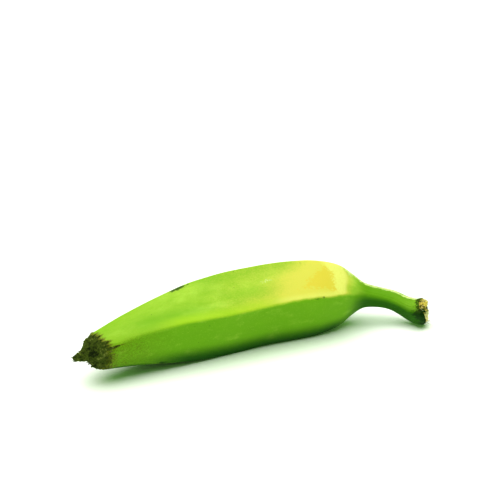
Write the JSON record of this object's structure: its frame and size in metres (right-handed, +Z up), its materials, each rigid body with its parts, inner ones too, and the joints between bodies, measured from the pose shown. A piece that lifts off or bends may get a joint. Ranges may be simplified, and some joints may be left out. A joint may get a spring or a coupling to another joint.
{
  "type": "green banana",
  "caption": "Unripe green cooking banana lying on its side, with soft ridges, a dark dried flower tip, and a curved stem with a torn cut end.",
  "frame": {"origin": "middle of the fruit's plan outline, on the surface that it lies on", "axes": "+X towards the stem along the fruit's length, -Y towards the hollow side of its bend, +Z up"},
  "size_m": [0.243, 0.0608, 0.0489],
  "materials": {
    "peel": "waxy satin green peel, dark brown at the dried flower tip, tan at the torn cut"
  },
  "bodies": {
    "root": {"banana": "peel"}
  },
  "joints": []
}
